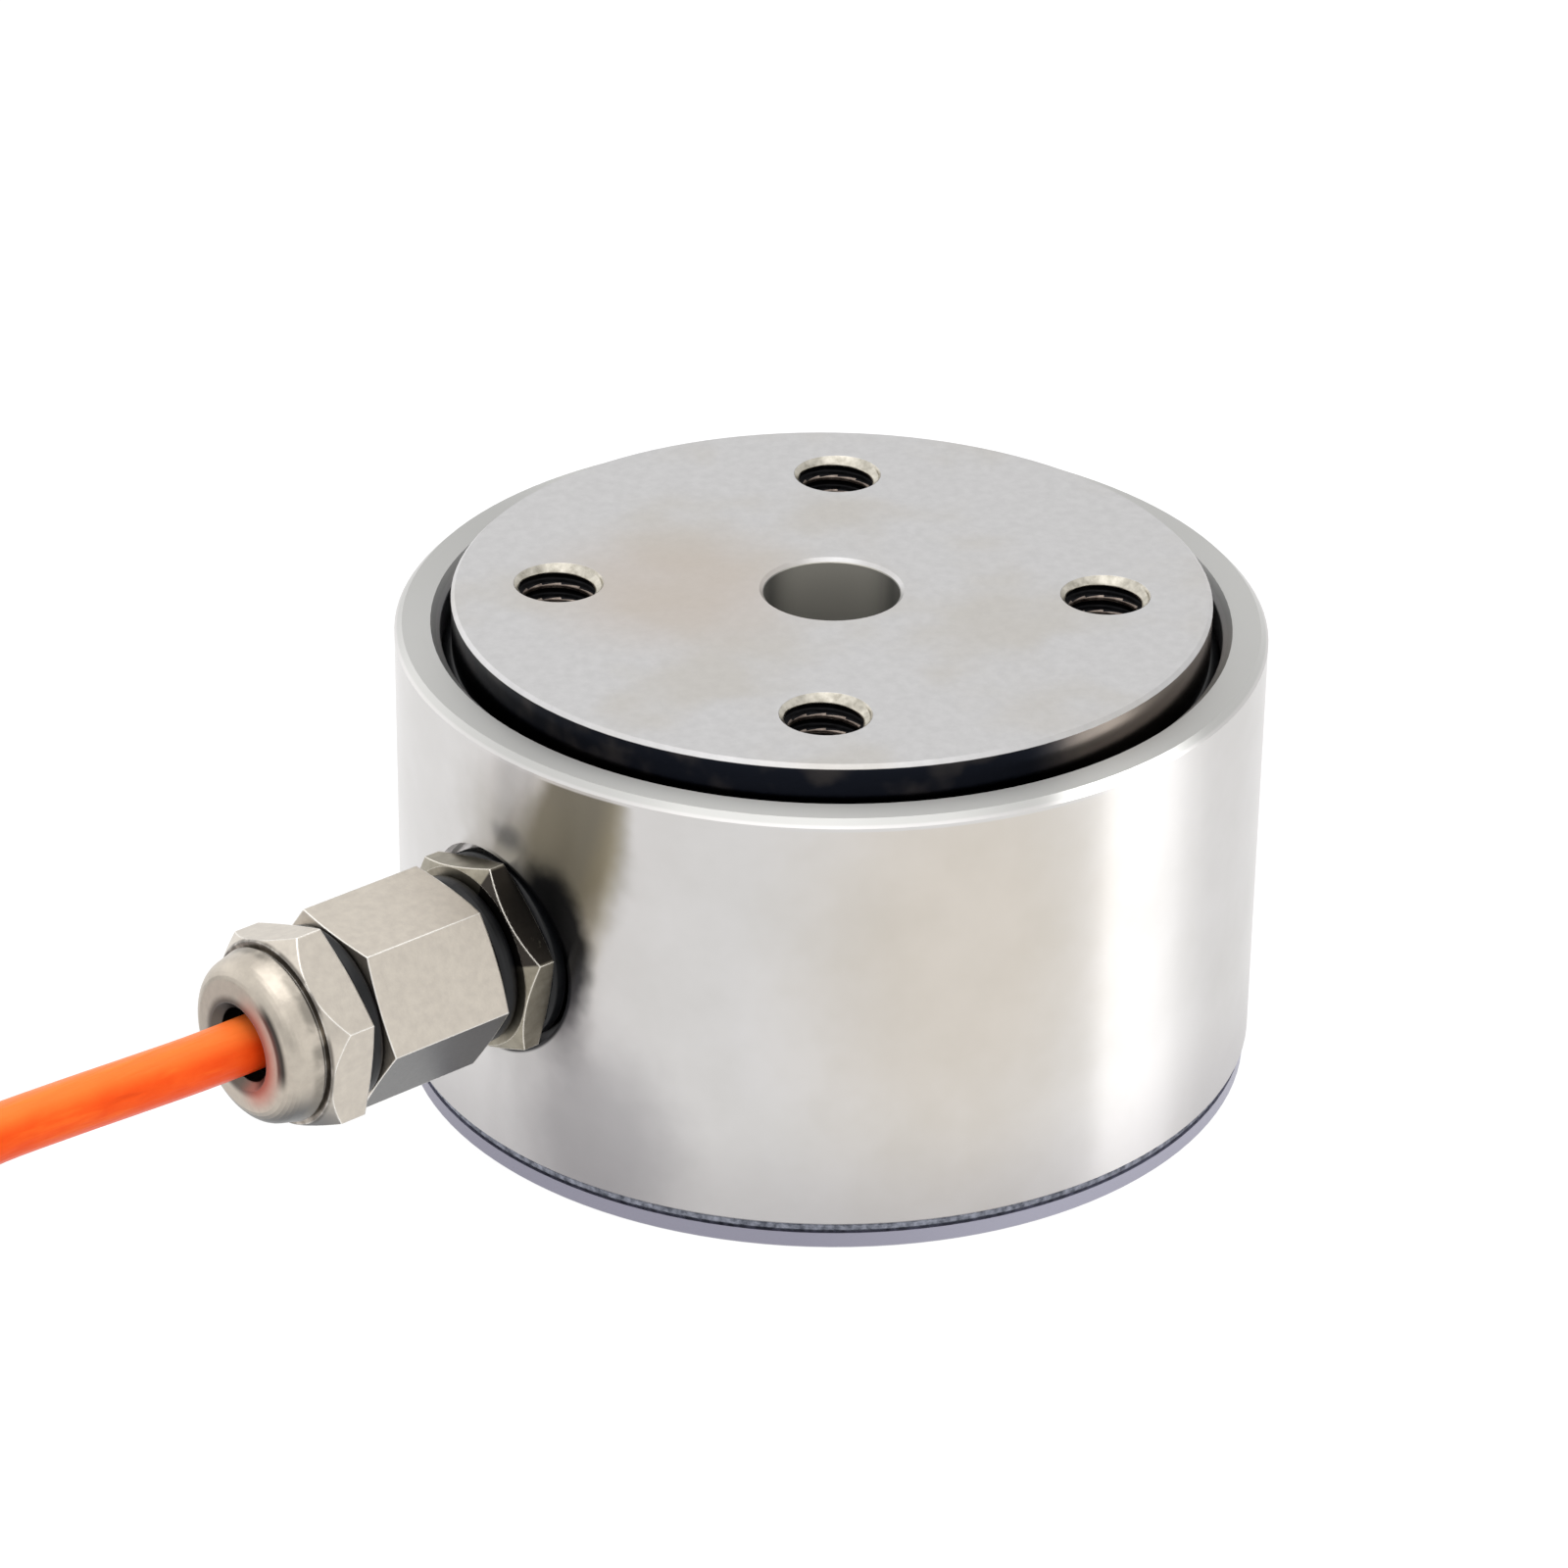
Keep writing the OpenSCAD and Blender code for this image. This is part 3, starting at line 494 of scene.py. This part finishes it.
# Painted shade: the sleeve's inner wall, in the gap round the disc, is painted dark
inner_wall_shade = between(t, radius, SLEEVE_R + 0.1, SLEEVE_R + 0.03)
colour = stained(t, colour, inner_wall_shade, "#2a2c31", 0.9)
wire(t, colour, shader.inputs["Base Color"])
rings = add(t, "TexNoise", {"Vector": add(t, "VectorMath", {0: mm, 1: (0.02, 0.02, 6)}, operation="MULTIPLY").outputs[0],
                            "Scale": 1.0, "Detail": 3.0})
wire(t, add(t, "MapRange", {"Value": rings.outputs["Fac"], "To Min": 0.27, "To Max": 0.3}).outputs[0],
     shader.inputs["Roughness"])
wire(t, add(t, "Tangent", direction_type="RADIAL", axis="Z").outputs[0], shader.inputs["Tangent"])

# Cut thread: the bright finish is a painted highlight, and the grooves are painted black as painted shade
thread_crest, t, shader, mm = material("thread with painted highlight", Metallic=1.0)
colour, cloud = mottle(t, mm, 0.8, "#a9a498", "#cfcabe")
wire(t, colour, shader.inputs["Base Color"])
wire(t, add(t, "MapRange", {"Value": cloud, "To Min": 0.22, "To Max": 0.38}).outputs[0], shader.inputs["Roughness"])
thread_groove, t, shader, mm = material("thread groove with painted shade", Metallic=0.8)
colour, cloud = mottle(t, mm, 0.8, "#0a0a0c", "#19191c")
wire(t, colour, shader.inputs["Base Color"])
wire(t, add(t, "MapRange", {"Value": cloud, "To Min": 0.3, "To Max": 0.5}).outputs[0], shader.inputs["Roughness"])

# Nickel-plated brass: warm and satin and finely pitted. Its edges are painted near white as a painted highlight, its
# underside is painted dark as painted shade, and the cap's nose holds painted reflections and painted shade
nickel, t, shader, mm = material("satin nickel plating", Metallic=1.0)
soft_normal, edges = soft_edges_and_highlight(t, 0.22)
colour, cloud = mottle(t, mm, 0.9, "#c7bfb4", "#d1c9bd", 6.0)
# Painted shade: faces that point down are painted dark grey
underside_shade = add(t, "VectorMath", {0: add(t, "TexCoord").outputs["Normal"], 1: (0, 0, -1)}, operation="DOT_PRODUCT").outputs["Value"]
colour = stained(t, colour, between(t, underside_shade, 0.1, 0.62), "#4d5054", 0.9)
across = add(t, "VectorMath", {0: mm, 1: (0, 0, GLAND_Z)}, operation="SUBTRACT").outputs[0]
off_axis = add(t, "VectorMath", {0: add(t, "VectorMath", {0: across, 1: (0, 1, 1)}, operation="MULTIPLY").outputs[0]},
               operation="LENGTH").outputs["Value"]
# Painted highlight: the edges are painted near white
colour = stained(t, colour, edges, "#fffdf8")
along, aside, _ = add(t, "SeparateXYZ", {0: mm}).outputs
nose = between(t, along, -63.6, -64.2)
colour = stained(t, colour, nose, "#cfcbc5", 0.45, "MULTIPLY")
patchiness = add(t, "TexNoise", {"Vector": mm, "Scale": 1 / 2.5, "Detail": 3.0}).outputs["Fac"]
# Painted reflection: a dark, patchy band on the shoulder of the cap's dome
shoulder = both(t, both(t, nose, between(t, along, -65.4, -64.7)), between(t, patchiness, 0.35, 0.6))
colour = stained(t, colour, shoulder, "#77726a", 0.7)
# Darker in the corner where the dome meets the hexagon, partly dirt and partly painted shade
corner = both(t, between(t, along, -63.5, -63.7), between(t, along, -64.1, -63.9))
colour = stained(t, colour, both(t, corner, between(t, patchiness, 0.3, 0.6)), "#4a4540", 0.75)
# Painted shade: the mouth round the cable is painted dark
mouth = both(t, nose, between(t, off_axis, 5.0, 4.1))
colour = stained(t, colour, mouth, "#40342f", 0.85)
# Painted reflection: a dark crescent on the dome's upper side toward -Y
outward = add(t, "VectorMath", {0: add(t, "VectorMath", {0: across, 1: (0, 1, 1)}, operation="MULTIPLY").outputs[0]},
              operation="NORMALIZE").outputs[0]
toward = add(t, "VectorMath", {0: outward, 1: (0, -0.92, 0.39)}, operation="DOT_PRODUCT").outputs["Value"]
crescent = both(t, both(t, nose, between(t, toward, 0.72, 0.93)),
                both(t, between(t, off_axis, 5.3, 5.7), between(t, off_axis, 6.7, 6.2)))
colour = stained(t, colour, crescent, "#33302e", 0.95)
# Painted reflection: the orange cable's reflection, painted red-orange on the cap's front by the mouth on its -Y side
cable_reflection = both(t, both(t, nose, between(t, off_axis, 6.3, 4.4)), between(t, aside, 0.5, -3))
colour = stained(t, colour, cable_reflection, "#c2533c", 0.6)
wire(t, colour, shader.inputs["Base Color"])
grain = add(t, "TexNoise", {"Vector": mm, "Scale": 1 / 0.25, "Detail": 4.0})
satin = add(t, "MapRange", {"Value": grain.outputs["Fac"], "To Min": 0.27, "To Max": 0.4}).outputs[0]
wire(t, chosen(t, edges, satin, 0.3), shader.inputs["Roughness"])
wire(t, add(t, "Bump", {"Height": grain.outputs["Fac"], "Strength": 0.25, "Distance": 0.00004, "Normal": soft_normal}).outputs[0],
     shader.inputs["Normal"])

# The lock nut's plating is dull and darker; one upper facet is painted near black as a painted reflection, its
# underside is painted dark as painted shade, and its edges are painted near white as a painted highlight
dull_nickel, t, shader, mm = material("dull nickel plating", Metallic=1.0)
soft_normal, edges = soft_edges_and_highlight(t, 0.2)
colour, cloud = mottle(t, mm, 1.2, "#8a8476", "#9d9788", 6.0)
across = add(t, "VectorMath", {0: add(t, "VectorMath", {0: mm, 1: (0, 0, GLAND_Z)}, operation="SUBTRACT").outputs[0],
                               1: (0, 1, 1)}, operation="MULTIPLY").outputs[0]
outward = add(t, "VectorMath", {0: across}, operation="NORMALIZE").outputs[0]
facing = add(t, "VectorMath", {0: outward, 1: (0, -0.695, 0.719)}, operation="DOT_PRODUCT").outputs["Value"]
# Painted reflection: the facet that points up and toward -Y is painted near black
dark_facet_reflection = both(t, between(t, facing, 0.865, 0.88), between(t, cloud, 0.2, 0.4))
colour = stained(t, colour, dark_facet_reflection, "#2b2726", 0.92)
# Painted shade: faces that point down are painted dark
underside_shade = add(t, "VectorMath", {0: add(t, "TexCoord").outputs["Normal"], 1: (0, 0, -1)}, operation="DOT_PRODUCT").outputs["Value"]
colour = stained(t, colour, between(t, underside_shade, 0.3, 0.8), "#4d4b48", 0.8)
# Painted highlight: the edges are painted near white
colour = stained(t, colour, edges, "#f3eee4")
wire(t, colour, shader.inputs["Base Color"])
grain = add(t, "TexNoise", {"Vector": mm, "Scale": 1 / 0.25, "Detail": 4.0})
wire(t, add(t, "MapRange", {"Value": grain.outputs["Fac"], "To Min": 0.28, "To Max": 0.42}).outputs[0],
     shader.inputs["Roughness"])
wire(t, soft_normal, shader.inputs["Normal"])

# Nitrile rubber: black, with a soft sheen on its round edges
nitrile, t, shader, mm = material("nitrile rubber", Specular_IOR_Level=0.3)
colour, cloud = mottle(t, mm, 1.5, "#07080a", "#0f1013")
wire(t, colour, shader.inputs["Base Color"])
wire(t, add(t, "MapRange", {"Value": cloud, "To Min": 0.3, "To Max": 0.45}).outputs[0], shader.inputs["Roughness"])

# Polyurethane cable jacket: orange and smooth, with long streaks and faint creases over the cores inside; its top is
# painted lighter as a painted highlight and its underside darker as painted shade
jacket, t, shader, mm = material("polyurethane jacket", Subsurface_Weight=0.06, Subsurface_Scale=0.001,
                                 Specular_IOR_Level=0.35, Specular_Tint=linear("#ffc27a"))
lengthwise = add(t, "VectorMath", {0: mm, 1: (0.1, 0.75, 0.75)}, operation="MULTIPLY").outputs[0]
streaks = add(t, "TexNoise", {"Vector": lengthwise, "Scale": 1.0, "Detail": 4.0}).outputs["Fac"]
colour, cloud = mottle(t, mm, 4, "#ec4a14", "#f4581c")
straight = between(t, add(t, "SeparateXYZ", {0: mm}).outputs["X"], -95, -82)
share = chosen(t, straight, 0.2, 0.6)
colour = stained(t, colour, between(t, streaks, 0.5, 0.68), "#ff7a2c", share)
colour = stained(t, colour, between(t, streaks, 0.44, 0.3), "#d53a10", share)
# Painted highlight on top and painted shade underneath, by the way each face points
upward = add(t, "SeparateXYZ", {0: add(t, "TexCoord").outputs["Normal"]}).outputs["Z"]
colour = stained(t, colour, between(t, upward, 0.35, 0.95), "#ff8d3e", 0.55)
colour = stained(t, colour, between(t, upward, 0.05, -0.6), "#cf3d10", 0.55)
wire(t, colour, shader.inputs["Base Color"])
wire(t, add(t, "MapRange", {"Value": streaks, "To Min": 0.26, "To Max": 0.44}).outputs[0], shader.inputs["Roughness"])
wire(t, add(t, "Bump", {"Height": streaks, "Strength": 0.5, "Distance": 0.0004}).outputs[0], shader.inputs["Normal"])

# The weld seam: dark, rough and beaded
weld_metal, t, shader, mm = material("weld seam", Metallic=1.0, Roughness=0.55)
colour, cloud = mottle(t, mm, 0.7, "#595c66", "#9c9fab")
wire(t, colour, shader.inputs["Base Color"])
wire(t, add(t, "Bump", {"Height": cloud, "Strength": 0.6, "Distance": 0.0002}).outputs[0], shader.inputs["Normal"])


def plain_finish(name, dark, light, size_mm, rough_from, rough_to, **values):
    """A finish that needs only a mottled colour and a varied gloss."""
    mat, tree, shader, place = material(name, **values)
    colour, cloud = mottle(tree, place, size_mm, dark, light)
    wire(tree, colour, shader.inputs["Base Color"])
    wire(tree, add(tree, "MapRange", {"Value": cloud, "To Min": rough_from, "To Max": rough_to}).outputs[0],
         shader.inputs["Roughness"])
    return mat


# Painted shade: the thread crests in the tapped holes are painted dull and dark
shaded_thread_crest = plain_finish("thread crest with painted shade", "#6d625c", "#a3968c", 0.8, 0.3, 0.45, Metallic=1.0)
polyimide = plain_finish("polyimide gauge with foil", "#b5742a", "#cf8c38", 2, 0.3, 0.45)
epoxy_board = plain_finish("glass epoxy board", "#275c3a", "#33734a", 4, 0.35, 0.5)
brass = plain_finish("turned brass", "#b99b50", "#cfb569", 2, 0.25, 0.4, Metallic=1.0)
zinc = plain_finish("zinc-plated steel", "#8f9092", "#a8a9aa", 2, 0.3, 0.45, Metallic=1.0)
lacquer = plain_finish("resistor lacquer", "#41729f", "#5583b4", 2, 0.2, 0.35)
polyamide = plain_finish("natural polyamide", "#d8d4c8", "#e8e5dc", 3, 0.35, 0.5)
black_polyamide = plain_finish("black polyamide", "#151517", "#202023", 3, 0.35, 0.5)
shrink = plain_finish("black heat-shrink", "#121214", "#1d1d20", 2, 0.4, 0.55)
enamel = plain_finish("enamelled copper", "#a63c27", "#bf5034", 2, 0.2, 0.35, Metallic=0.6)
copper = plain_finish("tinned copper strands", "#a97c4f", "#c79a6b", 0.6, 0.3, 0.45, Metallic=1.0)
wires = {
    "red": plain_finish("red wire insulation", "#b82217", "#cc2f22", 2, 0.3, 0.42),
    "black": plain_finish("black wire insulation", "#151517", "#202022", 2, 0.3, 0.42),
    "green": plain_finish("green wire insulation", "#246d34", "#318543", 2, 0.3, 0.42),
    "white": plain_finish("white wire insulation", "#dedcd3", "#ecebe4", 2, 0.3, 0.42)}

finishes = {
    "spring_element": ground_steel, "housing_sleeve": turned_steel, "weld_seam": weld_metal, "top_seal": nitrile,
    "bridge_wiring": enamel, "bridge_board": epoxy_board, "board_standoffs": brass, "board_screws": zinc,
    "trim_resistors": lacquer, "solder_pins": brass, "drain_wire": copper, "gland_washer": nitrile,
    "lock_nut": dull_nickel, "inner_seal_ring": nitrile, "gland_body": nickel, "outer_seal_ring": nitrile,
    "clamp_claw": polyamide, "grip_seal": nitrile, "cap_nut": nickel, "cable_inner": jacket, "cable_run": jacket,
    "cable_coil": jacket, "cable_tail": jacket, "coil_tie_1": black_polyamide, "coil_tie_2": black_polyamide,
    "end_sleeve": shrink, "lead_drain": copper}
for i in range(1, 5):
    finishes[f"gauge_{i}"] = polyimide
for name, mat in wires.items():
    finishes[f"core_{name}"] = finishes[f"lead_{name}"] = mat


def dress(obj, *mats):
    """Gives an object its materials in the order of its faces' own indices."""
    for i, mat in enumerate(mats):
        if i < len(obj.data.materials):
            obj.data.materials[i] = mat
        else:
            obj.data.materials.append(mat)


dress(cable, jacket)
dress(shrunk_sleeve, shrink)
dress(stripped_ends, copper)
dress(wire_drain, copper)
for name, obj in leads.items():
    dress(obj, wires[name])
for obj in (*ties, tie_heads):
    dress(obj, black_polyamide)
for obj in threads:
    dress(obj, thread_crest, thread_groove, shaded_thread_crest)
for name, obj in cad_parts.items():
    for i in range(len(obj.material_slots)):
        obj.material_slots[i].link = "OBJECT"
        obj.material_slots[i].material = finishes[name]

# A white floor that shines a little by itself, as a lit table does, so that shadows on it stay faint
floor_mesh = bmesh.new()
bmesh.ops.create_grid(floor_mesh, x_segments=1, y_segments=1, size=3)
floor = finish_mesh("floor", floor_mesh, False)
paper, t, shader, mm = material("white lit table", Roughness=0.9, Specular_IOR_Level=0.0,
                                Emission_Color=(1, 1, 1, 1), Emission_Strength=0.94)
shader.inputs["Base Color"].default_value = (0.12, 0.12, 0.12, 1)
dress(floor, paper)

# The room: a pale wall all round, darker on the camera's side
world = bpy.data.worlds.new("studio")
bpy.context.scene.world = world
world.use_nodes = True
t = world.node_tree
direction = add(t, "SeparateXYZ", {0: add(t, "TexCoord").outputs["Generated"]})
azimuth = add(t, "Math", {0: direction.outputs["Y"], 1: direction.outputs["X"]}, operation="ARCTAN2")
round_turn = add(t, "MapRange", {"Value": azimuth.outputs[0], "From Min": -math.pi, "From Max": math.pi}).outputs[0]


def room_ring(levels):
    """The room's light all round at one height: polar angles in degrees and how bright it is there."""
    cards = add(t, "ValToRGB", {"Fac": round_turn})
    ramp = cards.color_ramp
    while len(ramp.elements) < len(levels):
        ramp.elements.new(0.5)
    for e, (angle, level) in zip(ramp.elements, levels):
        e.position = (angle + 180) / 360
        e.color = (level, level, level, 1)
    return cards.outputs["Color"]


low_room = room_ring([(-180, 0.8), (-125, 0.75), (-100, 1.1), (-76, 1.5), (-66, 1.2), (-60, 0.92), (-50, 0.9), (0, 0.9),
                      (60, 0.95), (95, 1.5), (130, 1.4), (180, 0.8)])
high_room = room_ring([(-180, 1.3), (-130, 1.5), (-100, 1.2), (-75, 0.88), (-20, 0.88), (10, 0.8), (60, 1.0),
                       (120, 1.1), (180, 1.3)])
lifted = between(t, direction.outputs["Z"], 0.42, 0.58)
both_rooms = add(t, "Mix", {0: lifted, 6: low_room, 7: high_room}, data_type="RGBA").outputs[2]
wire(t, both_rooms, t.nodes["Background"].inputs["Color"])
t.nodes["Background"].inputs["Strength"].default_value = 1.0


def softbox(name, place, aim, wide, tall, watts, lit=None):
    """A rectangular light that the camera doesn't see; it lights everything, or only the pieces in lit."""
    lamp = bpy.data.lights.new(name, "AREA")
    lamp.shape, lamp.size, lamp.size_y, lamp.energy = "RECTANGLE", wide, tall, watts
    obj = bpy.data.objects.new(name, lamp)
    bpy.context.collection.objects.link(obj)
    obj.location = place
    obj.rotation_mode = "QUATERNION"
    obj.rotation_quaternion = (Vector(place) - Vector(aim)).to_track_quat("Z", "Y")
    obj.visible_camera = False
    if lit:
        obj.light_linking.receiver_collection = bpy.data.collections.new(name + " lights")
        for piece in lit:
            obj.light_linking.receiver_collection.objects.link(piece)
    return obj


def upright_light(name, from_angle, to_angle, radiance):
    """A tall strip that stands on the floor between two polar angles and is mirrored in the sleeve alone."""
    away, tall = 1.6, 1.9
    middle, half = math.radians((from_angle + to_angle) / 2), math.radians(to_angle - from_angle) / 2
    wide = 2 * away * math.tan(half)
    place = (away * math.cos(middle), away * math.sin(middle), tall / 2)
    return softbox(name, place, (0, 0, tall / 2), wide, tall, radiance * math.pi * wide * tall,
                   [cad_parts["housing_sleeve"]])


softbox("overhead softbox", (0.1, 0.1, 1.3), (0, 0, 0), 1.2, 1.2, 6)
upright_light("upright strip", -59.8, -35, 5.4)
upright_light("upright strip's soft edge", -35, -26, 2.0)
# The orange coil lies where the camera doesn't see it, so it doesn't tint the steel either
cable.visible_glossy = False

scene = bpy.context.scene
scene.view_settings.view_transform = "Standard"
